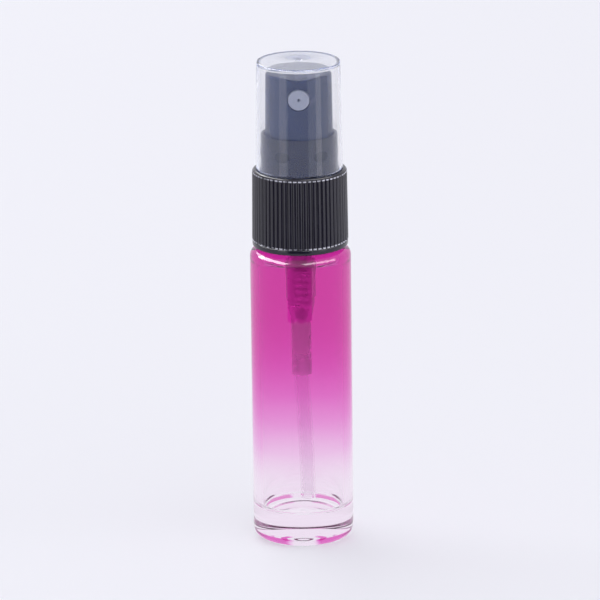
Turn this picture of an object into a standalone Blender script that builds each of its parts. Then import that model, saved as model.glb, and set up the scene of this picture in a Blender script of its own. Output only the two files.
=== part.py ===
# Ten-millilitre glass spray vial with a screw-on fine-mist pump and a clear overcap.
# Origin: centre of the bottle's base, on the surface it stands on. +Z up the bottle, the nozzle sprays to -Y.
# Every length is in metres. Heights are stacked from the base upwards, so one change carries the rest along.
import bpy
import bmesh
from math import cos, exp, hypot, pi, radians, sin
from mathutils import Matrix, Vector

# Fits
SEAT_GAP = 0.00010          # between two pieces that rest on each other
RUN_GAP = 0.00007           # radial, a shaft or a piston in its bore
LOOSE_GAP = 0.00020         # radial, a moulding dropped into or over another

# Glass bottle
BOTTLE_RADIUS = 0.0100
BODY_HEIGHT = 0.0598        # base to the top of the shoulder
GLASS_WALL = 0.0018
FLOOR_THICKNESS = 0.0064    # the heavy base, above the table
HEEL_ROUND = 0.0020
SHOULDER_ROUND = 0.0018
INNER_ROUND = 0.0012        # inside corner at the floor
INNER_SHOULDER = 0.0028     # inside rounding under the shoulder
SHOULDER_WALL = 0.0013      # the glass is thinner there
THROAT_ROUND = 0.0010       # inside, from the shoulder up into the neck
PUSH_UP_RADIUS = 0.0070     # hollow under the base, inside the ring it stands on
PUSH_UP_HEIGHT = 0.0017
CEILING_RISE = 0.0001       # inside of the shoulder, from its edge to the throat
NECK_RADIUS = 0.00645       # at the root of the thread
NECK_WALL = 0.00215
NECK_HEIGHT = 0.0124        # shoulder to rim
RIM_ROUND = 0.0004

# Screw thread, right-handed, rounded beads as in moulded glass
THREAD_LEAD = 0.0021
GLASS_BEAD = 0.00070        # radius of the bead on the neck
GLASS_THREAD_TURNS = 1.6
THREAD_BELOW_RIM = 0.0022   # rim to the centre of the last turn
COLLAR_BEAD = 0.00055       # radius of the bead inside the collar
COLLAR_THREAD_TURNS = 1.3
BEAD_TIP = 0.25             # share of a bead's thickness where it runs out
UNSCREW_TURNS = 2           # turns until the threads part
THREAD_PARTING = 0.0002     # the collar's thread is then this far above the end of the glass one

# Collar with its turret, one moulding
COLLAR_RADIUS = 0.00962     # over the ribs
COLLAR_LIFT = 0.0005        # bottom edge above the glass shoulder
BAND_HEIGHT = 0.0011        # plain band under the ribs
BAND_RADIUS = 0.00945
RIB_COUNT = 60
RIB_DEPTH = 0.00045
RIB_SINK = 0.0001           # the grooves between ribs reach this far into the wall's plain radius
RIB_SECTION = ((0.0, 0.0), (0.22, 0.78), (0.5, 1.0), (0.78, 0.78))  # share of the pitch, share of the height
RIB_DRAFT = 0.00016         # the ribs are this much slimmer at the top
THREAD_ROOM = 0.00030       # crest of the glass bead to the collar's wall
DECK_THICKNESS = 0.0016
COLLAR_EDGE = 0.0004        # chamfer round the top of the ribs
TURRET_WALL = 0.00057
TURRET_HEIGHT = 0.0073      # above the deck
PIP_COUNT = 6
PIP_HEIGHT = 0.0038         # centres above the deck
PIP_WIDTH = 0.0027
PIP_STAND = 0.00010         # how far a pip stands out
PIP_SINK = 0.00020          # and how far it goes into the wall
PIP_TURN = 26.6             # degrees from the nozzle to the first one on its left

# Neck gasket
GASKET_THICKNESS = 0.0008
GASKET_MARGIN = 0.0001      # smaller than the neck's rim

# Pump housing
FLANGE_THICKNESS = 0.0009
BARREL_RADIUS = 0.0037      # inside the neck
BARREL_LENGTH = 0.0105      # flange to the step below the neck
BARREL_TAPER = 0.0012       # height of that step
CHAMBER_RADIUS = 0.0021     # bore the piston slides in
CHAMBER_WALL = 0.0008
UPPER_BORE = 0.0029
TAIL_RADIUS = 0.00195
TAIL_LENGTH = 0.0108
TAIL_TAPER = 0.0052
TAIL_SHOULDER = 0.0005      # top of the tail above the end of the tube's socket
CAGE_RADIUS = 0.00135
CAGE_LENGTH = 0.0023
CONE_LENGTH = 0.0009
INLET_RADIUS = 0.00075
INLET_LENGTH = 0.0010
VENT_RADIUS = 0.00035
VENT_DEPTH = 0.0085         # below the flange's top
VENT_SIDES = 10

# Chaplet and stem seal
CHAPLET_DEPTH = 0.0037
CHAPLET_HEAD_RADIUS = 0.0039
CHAPLET_HEAD_HEIGHT = 0.0013
SEAL_THICKNESS = 0.0005

# Stem, valve pin and piston
STROKE = 0.0042
STEM_RADIUS = 0.0016
STEM_BORE = 0.00085
STEM_FLANGE_RADIUS = 0.00255
STEM_FLANGE_THICKNESS = 0.0007
STEM_OVERTRAVEL = 0.0006    # room left under the stem's flange at full stroke
PISTON_LENGTH = 0.0046
PISTON_LEDGE = 0.0029       # bottom of the piston to its inner ledge
PISTON_LIP = 0.0011         # height of the lower lip
PISTON_WAIST = 0.00175
PISTON_SLOPE = 0.0003       # height of the slopes into the waist
PISTON_LIFT = 0.0005        # how far pressure lifts it off its seat
PIN_RADIUS = 0.0010
PIN_PLUG = 0.0036           # pressed into the stem
PIN_LEAD_IN = 0.00025
FOOT_RADIUS = 0.00155
FOOT_THICKNESS = 0.0009
SPIGOT_RADIUS = 0.0012
SPIGOT_LENGTH = 0.0013

# Springs and ball
LOADING_SPRING_LENGTH = 0.0054
LOADING_SPRING_WIRE = 0.0003
LOADING_SPRING_TURNS = 5
RETURN_SPRING_SOLID = 0.0055  # length left for the return spring at full stroke
RETURN_SPRING_WIRE = 0.0004
RETURN_SPRING_TURNS = 7
RETURN_SPRING_RADIUS = 0.00165
BALL_RADIUS = 0.0012

# Dip tube
TUBE_RADIUS = 0.0015
TUBE_WALL = 0.00045
TUBE_END_GAP = 0.0014       # above the bottle's floor
TUBE_BEND = 0.0010          # how far its end leans to +X
TUBE_CURL = 1.3             # above 1 the bend starts lower
TUBE_POINTS = 8

# Actuator and nozzle insert
ACTUATOR_TOP_RADIUS = 0.00650
ACTUATOR_DRAFT = 0.00016    # wider at the skirt
ACTUATOR_HEIGHT = 0.01425   # skirt to the middle of the finger rest
ACTUATOR_WALL = 0.0011
ACTUATOR_EDGE = 0.0009      # rounding of the finger rest's edge
REST_SLOPE = 0.02           # the finger rest falls this much to the back, per unit of depth
REST_GROOVE = 0.0005        # depth of the groove along it, front to back
GROOVE_WIDTH = 0.0026       # half its width, where most of the depth is gone
SKIRT_CLEARANCE = 0.0005    # skirt to the deck at full stroke
SKIRT_GAP = 0.00029         # radial, skirt to the inside of the turret
POST_RADIUS = 0.0026
POST_RECESS = 0.0015        # the post's end above the skirt
SOCKET_DEPTH = 0.0050
CHANNEL_RADIUS = 0.00055    # riser above the stem
CROSS_RADIUS = 0.00050      # from the riser to the nozzle
CHANNEL_SIDES = 12
NOZZLE_DROP = 0.00372       # below the middle of the finger rest
NOZZLE_RADIUS = 0.00205
NOZZLE_LENGTH = 0.0026
NOZZLE_RECESS = 0.00008     # its face behind the actuator's side
NOZZLE_FACE = 0.0006
NOZZLE_CAVITY = 0.00125
NOZZLE_CHAMFER = 0.00015
ORIFICE_RADIUS = 0.00018
BOSS_WALL = 0.0005

# Overcap
CAP_HEIGHT = 0.02155
CAP_FIT = 0.00028           # radial, turret to the inside of the cap's rim
CAP_DRAFT = 0.00040         # slimmer at the top
CAP_WALL = 0.00080
CAP_UPPER_WALL = 0.00050     # at the top
CAP_TOP = 0.0006
CAP_EDGE = 0.00025
CAP_FILLET = 0.0003         # inside corner
CAP_GATE_RADIUS = 0.0006    # moulding mark in the middle of the top
CAP_GATE_DEPTH = 0.0001

# Facets round a circle
COARSE = 40                 # bottle, collar, actuator, overcap
FINE = 24                   # pieces of the pump
NECK_POINTS = 20            # for each turn of a thread

# Heights that the sizes above add up to
RIM_Z = BODY_HEIGHT + NECK_HEIGHT
GASKET_Z = RIM_Z + SEAT_GAP
FLANGE_Z = GASKET_Z + GASKET_THICKNESS + SEAT_GAP
FLANGE_TOP = FLANGE_Z + FLANGE_THICKNESS
DECK_Z = FLANGE_TOP + SEAT_GAP
DECK_TOP = DECK_Z + DECK_THICKNESS
SEAL_TOP = FLANGE_TOP - CHAPLET_DEPTH - SEAT_GAP
STEM_FLANGE_TOP = SEAL_TOP - SEAL_THICKNESS - SEAT_GAP
STEM_FLANGE_Z = STEM_FLANGE_TOP - STEM_FLANGE_THICKNESS
PISTON_TOP = STEM_FLANGE_Z - LOADING_SPRING_LENGTH - SEAT_GAP
PISTON_Z = PISTON_TOP - PISTON_LENGTH
FOOT_TOP = PISTON_Z - SEAT_GAP
FOOT_Z = FOOT_TOP - FOOT_THICKNESS
UPPER_BORE_Z = STEM_FLANGE_Z - STROKE - STEM_OVERTRAVEL
CHAMBER_Z = FOOT_Z - STROKE - RETURN_SPRING_SOLID
CAGE_Z = CHAMBER_Z - CAGE_LENGTH
CONE_Z = CAGE_Z - CONE_LENGTH
SOCKET_TOP = CONE_Z - INLET_LENGTH
TAIL_TOP = SOCKET_TOP + TAIL_SHOULDER
TAIL_Z = TAIL_TOP - TAIL_LENGTH
STEM_Z = PISTON_Z + PISTON_LEDGE + PISTON_LIFT + SEAT_GAP
SKIRT_Z = DECK_TOP + STROKE + SKIRT_CLEARANCE
POST_Z = SKIRT_Z + POST_RECESS
STEM_TOP = POST_Z + SOCKET_DEPTH - SEAT_GAP
REST_Z = SKIRT_Z + ACTUATOR_HEIGHT
NOZZLE_Z = REST_Z - NOZZLE_DROP
CAP_Z = DECK_TOP + SEAT_GAP
CAP_TOP_Z = CAP_Z + CAP_HEIGHT
GLASS_THREAD_END = RIM_Z - THREAD_BELOW_RIM
GLASS_THREAD_Z = GLASS_THREAD_END - GLASS_THREAD_TURNS * THREAD_LEAD
COLLAR_THREAD_Z = GLASS_THREAD_END + THREAD_PARTING - UNSCREW_TURNS * THREAD_LEAD

# Radii that follow from the sizes above
GLASS_INSIDE = BOTTLE_RADIUS - GLASS_WALL
NECK_BORE = NECK_RADIUS - NECK_WALL
COLLAR_BORE = NECK_RADIUS + GLASS_BEAD + THREAD_ROOM
RIB_ROOT = COLLAR_RADIUS - RIB_DEPTH
DECK_HOLE = CHAPLET_HEAD_RADIUS + LOOSE_GAP
FLANGE_RADIUS = COLLAR_BORE - LOOSE_GAP
CHAMBER_OUTSIDE = CHAMBER_RADIUS + CHAMBER_WALL
PISTON_RADIUS = CHAMBER_RADIUS - RUN_GAP
TURRET_BORE = ACTUATOR_TOP_RADIUS + ACTUATOR_DRAFT + SKIRT_GAP
TURRET_RADIUS = TURRET_BORE + TURRET_WALL
CAP_BORE = TURRET_RADIUS + CAP_FIT
CAP_RADIUS = CAP_BORE + CAP_WALL


def clear_scene():
    for old in list(bpy.data.objects):
        bpy.data.objects.remove(old, do_unlink=True)


clear_scene()
parts = bpy.data.collections.new("spray_vial")
cutters = bpy.data.collections.new("cutters")
for group in (parts, cutters):
    bpy.context.scene.collection.children.link(group)


def finish(name, color, roughness, metallic=0.0, alpha=1.0, transmission=0.0):
    """A Principled material for one piece; color is linear RGB."""
    material = bpy.data.materials.new(name)
    material.use_nodes = True
    shader = material.node_tree.nodes["Principled BSDF"]
    shader.inputs["Base Color"].default_value = (*color, 1.0)
    shader.inputs["Roughness"].default_value = roughness
    shader.inputs["Metallic"].default_value = metallic
    shader.inputs["Alpha"].default_value = alpha
    shader.inputs["Transmission Weight"].default_value = transmission
    material.diffuse_color = (*color, alpha)
    return material


def add_object(name, data, material=None, group=parts):
    obj = bpy.data.objects.new(name, data)
    group.objects.link(obj)
    if material:
        data.materials.append(material)
    if group is cutters:
        obj.hide_render = True
        obj.display_type = "WIRE"
    return obj


def smooth(obj, angle=35):
    obj.data.shade_smooth()
    obj.data.set_sharp_from_angle(angle=radians(angle))


def arc(r, z, radius, start, end, count):
    """Points on an arc round (r, z), from one angle to another in degrees, both ends included."""
    turns = [radians(start + (end - start) * i / count) for i in range(count + 1)]
    return [(r + radius * cos(a), z + radius * sin(a)) for a in turns]


def evaluated_mesh(obj):
    """The object's mesh with its modifiers applied, or a curve's mesh with its caps welded."""
    graph = bpy.context.evaluated_depsgraph_get()
    mesh = bpy.data.meshes.new_from_object(obj.evaluated_get(graph))
    shell = bmesh.new()
    shell.from_mesh(mesh)
    bmesh.ops.remove_doubles(shell, verts=shell.verts, dist=1e-7)
    shell.to_mesh(mesh)
    shell.free()
    return mesh


def become_mesh(obj):
    """Swaps a curve or a modified object for a plain mesh object of the same name and place."""
    name, group, place = obj.name, obj.users_collection[0], obj.matrix_world.copy()
    mesh = evaluated_mesh(obj)
    bpy.data.objects.remove(obj, do_unlink=True)
    solid = add_object(name, mesh, group=group)
    solid.matrix_world = place
    return solid


def turned(name, profile, steps, material=None, group=parts):
    """A turned shape. The profile runs down its outer side; it ends on the axis, or closes on itself."""
    mesh = bpy.data.meshes.new(name)
    edges = [(i, i + 1) for i in range(len(profile) - 1)]
    if profile[0][0] > 0:
        edges.append((len(profile) - 1, 0))
    mesh.from_pydata([(r, 0, z) for r, z in profile], edges, [])
    obj = add_object(name, mesh, material, group)
    screw = obj.modifiers.new("turn", "SCREW")
    screw.steps = screw.render_steps = steps
    screw.use_merge_vertices = True
    screw.merge_threshold = 0.000001
    solid = become_mesh(obj)
    smooth(solid)
    return solid


def combine(target, other, operation):
    """Keeps the result of a Boolean on the target; the other shape stays among the cutters."""
    change = target.modifiers.new(other.name, "BOOLEAN")
    change.operation = operation
    change.solver = "EXACT"
    change.object = other


def rod(name, radius, length, place, direction, steps=FINE):
    """A cylinder among the cutters, its middle at place, along direction."""
    shape = bmesh.new()
    bmesh.ops.create_cone(shape, cap_ends=True, segments=steps, radius1=radius, radius2=radius, depth=length)
    turn = Vector((0, 0, 1)).rotation_difference(Vector(direction)).to_matrix().to_4x4()
    bmesh.ops.transform(shape, matrix=Matrix.Translation(place) @ turn, verts=shape.verts)
    mesh = bpy.data.meshes.new(name)
    shape.to_mesh(mesh)
    shape.free()
    return add_object(name, mesh, group=cutters)


def helix(radius, lead, turns, start_z, start_angle, per_turn):
    """Points up a right-handed helix."""
    count = max(2, round(turns * per_turn))
    points = []
    for i in range(count + 1):
        angle = start_angle + 2 * pi * turns * i / count
        points.append((radius * cos(angle), radius * sin(angle), start_z + lead * turns * i / count))
    return points


def wire(name, points, radius, sides=1, material=None, group=parts, runout=0, hollow=0.0):
    """A round wire along points. runout tapers that many points at each end, hollow leaves a tube's wall."""
    curve = bpy.data.curves.new(name, "CURVE")
    curve.dimensions = "3D"
    curve.bevel_depth = radius
    curve.bevel_resolution = sides
    curve.use_fill_caps = hollow == 0
    spline = curve.splines.new("POLY")
    spline.points.add(len(points) - 1)
    last = len(points) - 1
    for i, (point, place) in enumerate(zip(spline.points, points)):
        point.co = (*place, 1)
        if runout:
            point.radius = min(1.0, BEAD_TIP + (1 - BEAD_TIP) * min(i, last - i) / runout)
    obj = add_object(name, curve, material, group)
    if hollow:
        wall = obj.modifiers.new("wall", "SOLIDIFY")
        wall.thickness = hollow
        wall.offset = -1
    solid = become_mesh(obj)
    smooth(solid, 60)
    return solid


def glass_profile():
    """From the middle of the inside floor, up the inside, over the rim and down the outside."""
    shoulder = BODY_HEIGHT - SHOULDER_ROUND
    inner_shoulder = BODY_HEIGHT - SHOULDER_WALL
    inside = [(0, FLOOR_THICKNESS)]
    inside += arc(GLASS_INSIDE - INNER_ROUND, FLOOR_THICKNESS + INNER_ROUND, INNER_ROUND, -90, 0, 4)
    inside += arc(GLASS_INSIDE - INNER_SHOULDER, inner_shoulder - INNER_SHOULDER, INNER_SHOULDER, 0, 80, 5)
    ceiling = inner_shoulder + CEILING_RISE
    inside += arc(NECK_BORE + THROAT_ROUND, ceiling + THROAT_ROUND, THROAT_ROUND, 260, 180, 3)
    inside += arc(NECK_BORE + RIM_ROUND, RIM_Z - RIM_ROUND, RIM_ROUND, 180, 90, 2)
    outside = arc(NECK_RADIUS - RIM_ROUND, RIM_Z - RIM_ROUND, RIM_ROUND, 90, 0, 2)
    outside += arc(NECK_RADIUS + RIM_ROUND, BODY_HEIGHT + RIM_ROUND, RIM_ROUND, 180, 270, 2)
    outside += arc(BOTTLE_RADIUS - SHOULDER_ROUND, shoulder, SHOULDER_ROUND, 90, 0, 5)
    outside += arc(BOTTLE_RADIUS - HEEL_ROUND, HEEL_ROUND, HEEL_ROUND, 0, -90, 6)
    outside += [(PUSH_UP_RADIUS, 0)]
    for share in (0.75, 0.5, 0.25, 0):
        outside.append((PUSH_UP_RADIUS * share, PUSH_UP_HEIGHT * (1 - share ** 2)))
    return inside + outside


def make_bottle():
    glass = finish("magenta_glass", (0.80, 0.16, 0.52), 0.03, alpha=0.45, transmission=0.9)
    bottle = turned("glass_bottle", glass_profile(), COARSE, glass)
    route = helix(NECK_RADIUS, THREAD_LEAD, GLASS_THREAD_TURNS, GLASS_THREAD_Z, 0, NECK_POINTS)
    bead = wire("neck_thread", route, GLASS_BEAD, group=cutters, runout=3)
    combine(bottle, bead, "UNION")


def ribbed_ring():
    """The ribs round the collar, on a ring that lies inside its wall."""
    curve = bpy.data.curves.new("collar_ribs", "CURVE")
    curve.dimensions = "2D"
    curve.fill_mode = "BOTH"
    bottom = BODY_HEIGHT + COLLAR_LIFT + BAND_HEIGHT
    height = DECK_TOP - COLLAR_EDGE - bottom
    curve.extrude = height / 2
    pitch = 2 * pi / RIB_COUNT
    root = RIB_ROOT - RIB_SINK
    outline = []
    for i in range(RIB_COUNT):
        for share, rise in RIB_SECTION:
            outline.append((root + (COLLAR_RADIUS - root) * rise, pitch * (i + share)))
    core = (COLLAR_BORE + RIB_ROOT) / 2
    hole = [(core, -2 * pi * i / COARSE) for i in range(COARSE)]
    for ring in (outline, hole):
        spline = curve.splines.new("POLY")
        spline.points.add(len(ring) - 1)
        spline.use_cyclic_u = True
        for point, (radius, angle) in zip(spline.points, ring):
            point.co = (radius * cos(angle), radius * sin(angle), 0, 1)
    obj = add_object("collar_ribs", curve, group=cutters)
    obj.location.z = bottom + height / 2
    bpy.context.view_layer.update()
    ribs = become_mesh(obj)
    for vertex in ribs.data.vertices:
        radius = hypot(vertex.co.x, vertex.co.y)
        if radius > RIB_ROOT:
            slimmer = RIB_DRAFT * (0.5 + vertex.co.z / height)
            vertex.co.xy = vertex.co.xy * ((radius - slimmer) / radius)
    return ribs


def make_collar():
    plastic = finish("collar_plastic", (0.018, 0.018, 0.026), 0.38)
    bottom = BODY_HEIGHT + COLLAR_LIFT
    band_top = bottom + BAND_HEIGHT
    turret_top = DECK_TOP + TURRET_HEIGHT
    lead_in = TURRET_WALL / 4
    profile = [
        (TURRET_BORE, turret_top),
        (TURRET_RADIUS - lead_in, turret_top),
        (TURRET_RADIUS, turret_top - lead_in),
        (TURRET_RADIUS, DECK_TOP),
        (RIB_ROOT - COLLAR_EDGE, DECK_TOP),
        (RIB_ROOT, DECK_TOP - COLLAR_EDGE),
        (RIB_ROOT, band_top),
        (BAND_RADIUS, band_top),
        (BAND_RADIUS, bottom + COLLAR_EDGE),
        (BAND_RADIUS - COLLAR_EDGE, bottom),
        (COLLAR_BORE, bottom),
        (COLLAR_BORE, DECK_Z),
        (DECK_HOLE, DECK_Z),
        (DECK_HOLE, DECK_TOP),
        (TURRET_BORE, DECK_TOP),
    ]
    collar = turned("closure_collar", profile, COARSE, plastic)
    combine(collar, ribbed_ring(), "UNION")
    # half a turn out of step with the glass thread, so that each bead lies between the other's turns
    angle = 2 * pi * (COLLAR_THREAD_Z - GLASS_THREAD_Z) / THREAD_LEAD + pi
    route = helix(COLLAR_BORE, THREAD_LEAD, COLLAR_THREAD_TURNS, COLLAR_THREAD_Z, angle, NECK_POINTS)
    combine(collar, wire("collar_thread", route, COLLAR_BEAD, group=cutters, runout=3), "UNION")
    for i in range(PIP_COUNT):
        combine(collar, make_pip(i), "UNION")


def make_pip(index):
    """A flat round lug on the turret that grips the overcap."""
    angle = radians(-90 - PIP_TURN) + 2 * pi * index / PIP_COUNT
    shape = bmesh.new()
    bmesh.ops.create_uvsphere(shape, u_segments=12, v_segments=6, radius=1)
    size = Matrix.Diagonal((PIP_STAND + PIP_SINK, PIP_WIDTH / 2, PIP_WIDTH / 2, 1))
    poles = Matrix.Rotation(pi / 2, 4, "Y")
    outwards = Matrix.Translation((TURRET_RADIUS - PIP_SINK, 0, DECK_TOP + PIP_HEIGHT))
    place = Matrix.Rotation(angle, 4, "Z") @ outwards
    bmesh.ops.transform(shape, matrix=place @ size @ poles, verts=shape.verts)
    mesh = bpy.data.meshes.new("pip")
    shape.to_mesh(mesh)
    shape.free()
    return add_object(f"pip_{index + 1}", mesh, group=cutters)


def make_gasket():
    rubber = finish("gasket_rubber", (0.55, 0.55, 0.52), 0.6)
    inner, outer = BARREL_RADIUS + LOOSE_GAP, NECK_RADIUS - GASKET_MARGIN
    top = GASKET_Z + GASKET_THICKNESS
    turned("neck_gasket", [(inner, top), (outer, top), (outer, GASKET_Z), (inner, GASKET_Z)], FINE, rubber)


def make_housing():
    natural = finish("natural_plastic", (0.80, 0.80, 0.78), 0.35, alpha=0.9)
    step_z = FLANGE_Z - BARREL_LENGTH
    socket = TUBE_RADIUS + RUN_GAP
    profile = [
        (UPPER_BORE, FLANGE_TOP),
        (FLANGE_RADIUS, FLANGE_TOP),
        (FLANGE_RADIUS, FLANGE_Z),
        (BARREL_RADIUS, FLANGE_Z),
        (BARREL_RADIUS, step_z + BARREL_TAPER),
        (CHAMBER_OUTSIDE, step_z),
        (CHAMBER_OUTSIDE, TAIL_TOP + TAIL_TAPER),
        (TAIL_RADIUS, TAIL_TOP),
        (TAIL_RADIUS, TAIL_Z),
        (socket, TAIL_Z),
        (socket, SOCKET_TOP),
        (INLET_RADIUS, SOCKET_TOP),
        (INLET_RADIUS, CONE_Z),
        (CAGE_RADIUS, CAGE_Z),
        (CAGE_RADIUS, CHAMBER_Z),
        (CHAMBER_RADIUS, CHAMBER_Z),
        (CHAMBER_RADIUS, UPPER_BORE_Z),
        (UPPER_BORE, UPPER_BORE_Z),
    ]
    housing = turned("pump_housing", profile, FINE, natural)
    vent_z = FLANGE_TOP - VENT_DEPTH
    middle = (0, (UPPER_BORE + BARREL_RADIUS) / 2, vent_z)
    combine(housing, rod("vent", VENT_RADIUS, BARREL_RADIUS, middle, (0, 1, 0), VENT_SIDES), "DIFFERENCE")


def make_chaplet():
    white = finish("white_plastic", (0.75, 0.75, 0.74), 0.4)
    bore = STEM_RADIUS + RUN_GAP + SEAT_GAP
    plug = UPPER_BORE - SEAT_GAP
    plug_z = FLANGE_TOP - CHAPLET_DEPTH
    head_z = FLANGE_TOP + SEAT_GAP
    head_top = head_z + CHAPLET_HEAD_HEIGHT
    lead_in = CHAPLET_HEAD_HEIGHT / 4
    profile = [
        (bore, head_top),
        (CHAPLET_HEAD_RADIUS - lead_in, head_top),
        (CHAPLET_HEAD_RADIUS, head_top - lead_in),
        (CHAPLET_HEAD_RADIUS, head_z),
        (plug, head_z),
        (plug, plug_z),
        (bore, plug_z),
    ]
    turned("chaplet", profile, FINE, white)


def make_stem_seal():
    rubber = finish("seal_rubber", (0.25, 0.25, 0.26), 0.6)
    inner, outer = STEM_RADIUS + RUN_GAP, UPPER_BORE - SEAT_GAP
    low = SEAL_TOP - SEAL_THICKNESS
    turned("stem_seal", [(inner, SEAL_TOP), (outer, SEAL_TOP), (outer, low), (inner, low)], FINE, rubber)


def make_stem():
    white = finish("stem_plastic", (0.75, 0.75, 0.74), 0.4)
    lead_in = (STEM_RADIUS - STEM_BORE) / 4
    profile = [
        (STEM_BORE, STEM_TOP),
        (STEM_RADIUS - lead_in, STEM_TOP),
        (STEM_RADIUS, STEM_TOP - lead_in),
        (STEM_RADIUS, STEM_FLANGE_TOP),
        (STEM_FLANGE_RADIUS, STEM_FLANGE_TOP),
        (STEM_FLANGE_RADIUS, STEM_FLANGE_Z),
        (STEM_RADIUS, STEM_FLANGE_Z),
        (STEM_RADIUS, STEM_Z),
        (STEM_BORE, STEM_Z),
    ]
    turned("stem", profile, FINE, white)


def make_valve_pin():
    """Closes the stem from below: the piston seats on its foot, and the return spring pushes it up."""
    grey = finish("pin_plastic", (0.45, 0.47, 0.50), 0.4)
    plug = STEM_BORE - RUN_GAP
    neck_top = STEM_Z - SEAT_GAP
    profile = [
        (0, STEM_Z + PIN_PLUG),
        (plug - PIN_LEAD_IN, STEM_Z + PIN_PLUG),
        (plug, STEM_Z + PIN_PLUG - PIN_LEAD_IN),
        (plug, neck_top),
        (PIN_RADIUS, neck_top),
        (PIN_RADIUS, FOOT_TOP),
        (FOOT_RADIUS, FOOT_TOP),
        (FOOT_RADIUS, FOOT_Z),
        (SPIGOT_RADIUS, FOOT_Z),
        (SPIGOT_RADIUS, FOOT_Z - SPIGOT_LENGTH),
        (0, FOOT_Z - SPIGOT_LENGTH),
    ]
    turned("valve_pin", profile, FINE, grey)


def make_piston():
    natural = finish("piston_plastic", (0.78, 0.78, 0.76), 0.35)
    ledge_z = PISTON_Z + PISTON_LEDGE
    narrow, wide = PIN_RADIUS + SEAT_GAP, STEM_RADIUS + SEAT_GAP
    profile = [
        (wide, PISTON_TOP),
        (PISTON_RADIUS, PISTON_TOP),
        (PISTON_RADIUS, ledge_z - PISTON_SLOPE),
        (PISTON_WAIST, ledge_z - 2 * PISTON_SLOPE),
        (PISTON_WAIST, PISTON_Z + PISTON_LIP + PISTON_SLOPE),
        (PISTON_RADIUS, PISTON_Z + PISTON_LIP),
        (PISTON_RADIUS, PISTON_Z),
        (narrow, PISTON_Z),
        (narrow, ledge_z),
        (wide, ledge_z),
    ]
    turned("piston", profile, FINE, natural)


def make_spring(name, mean_radius, thickness, turns, low, high):
    """An open coil of round wire between two seats."""
    steel = finish(name + "_steel", (0.62, 0.62, 0.63), 0.25, metallic=1.0)
    start = low + thickness / 2 + SEAT_GAP / 2
    rise = high - low - thickness - SEAT_GAP
    wire(name, helix(mean_radius, rise / turns, turns, start, 0, 10), thickness / 2, material=steel)


def make_springs():
    wrap = (PISTON_RADIUS + STEM_RADIUS + SEAT_GAP) / 2 - SEAT_GAP / 4
    make_spring("precompression_spring", wrap, LOADING_SPRING_WIRE, LOADING_SPRING_TURNS,
                PISTON_TOP, STEM_FLANGE_Z)
    make_spring("return_spring", RETURN_SPRING_RADIUS, RETURN_SPRING_WIRE, RETURN_SPRING_TURNS,
                CHAMBER_Z, FOOT_Z)


def ball_centre():
    """Height at which the ball rests in its cone, a hair clear of it."""
    slope = (CAGE_RADIUS - INLET_RADIUS) / CONE_LENGTH
    return CONE_Z + ((BALL_RADIUS + SEAT_GAP / 2) * hypot(1, slope) - INLET_RADIUS) / slope


def make_ball():
    steel = finish("ball_steel", (0.62, 0.62, 0.63), 0.12, metallic=1.0)
    shape = bmesh.new()
    bmesh.ops.create_uvsphere(shape, u_segments=FINE, v_segments=12, radius=BALL_RADIUS)
    mesh = bpy.data.meshes.new("check_ball")
    shape.to_mesh(mesh)
    shape.free()
    ball = add_object("check_ball", mesh, steel)
    ball.location.z = ball_centre()
    smooth(ball, 60)


def make_dip_tube():
    clear = finish("tube_plastic", (0.85, 0.85, 0.86), 0.2, alpha=0.6)
    top, low = SOCKET_TOP - SEAT_GAP, FLOOR_THICKNESS + TUBE_END_GAP
    free = TAIL_Z - low
    points = [(0, 0, top), (0, 0, (top + TAIL_Z) / 2)]
    for i in range(TUBE_POINTS + 1):
        share = i / TUBE_POINTS
        points.append((TUBE_BEND * sin(pi / 2 * share) ** TUBE_CURL, 0, TAIL_Z - free * share))
    wire("dip_tube", points, TUBE_RADIUS, sides=4, material=clear, hollow=TUBE_WALL)


def saddle(x, y):
    """Height of the finger rest over its middle: falling to the back, with raised sides."""
    return -REST_SLOPE * y + REST_GROOVE * (1 - exp(-(x / GROOVE_WIDTH) ** 2))


def dish_top(obj, low):
    """Bends everything above low to follow the finger rest."""
    fade = REST_Z - ACTUATOR_EDGE - low
    for vertex in obj.data.vertices:
        weight = min(1.0, max(0.0, (vertex.co.z - low) / fade))
        vertex.co.z += weight * saddle(vertex.co.x, vertex.co.y)


def actuator_outside(inset, low):
    """The outside of the button, from the middle of its top to its skirt, moved inwards by inset."""
    top, radius, edge = REST_Z - inset, ACTUATOR_TOP_RADIUS - inset, ACTUATOR_EDGE - inset / 2
    outline = [(0, top)]
    outline += [(radius * share, top) for share in (0.25, 0.5, 0.7)]
    outline += arc(radius - edge, top - edge, edge, 90, 0, 3)
    outline += [(radius + ACTUATOR_DRAFT / 2, low), (radius + ACTUATOR_DRAFT, SKIRT_Z)]
    return outline


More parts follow.
